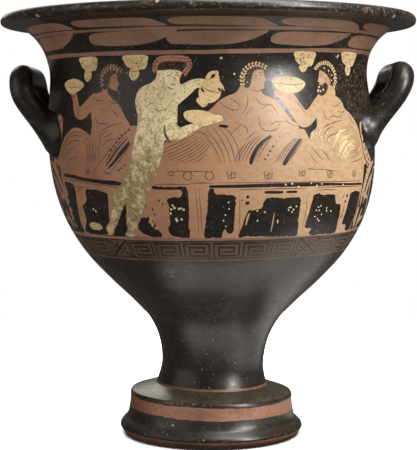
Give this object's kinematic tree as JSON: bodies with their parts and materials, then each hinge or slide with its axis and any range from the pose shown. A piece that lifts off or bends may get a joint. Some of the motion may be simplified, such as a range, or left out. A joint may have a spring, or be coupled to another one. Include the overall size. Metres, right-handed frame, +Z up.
{
  "type": "bell krater",
  "caption": "Wheel-thrown red-figure bell krater with a flaring rolled lip, stemmed disc foot and upturned loop handles.",
  "frame": {"origin": "centre of the bounding box at the resting ring, on the surface the krater stands on", "axes": "+Z up along the turned axis, X through the two loop handles, -Y towards the main picture side"},
  "size_m": [0.356, 0.356, 0.3623],
  "materials": {
    "glazed_clay": "gloss"
  },
  "bodies": {
    "root": {"bell_krater": "glazed_clay"}
  },
  "joints": []
}
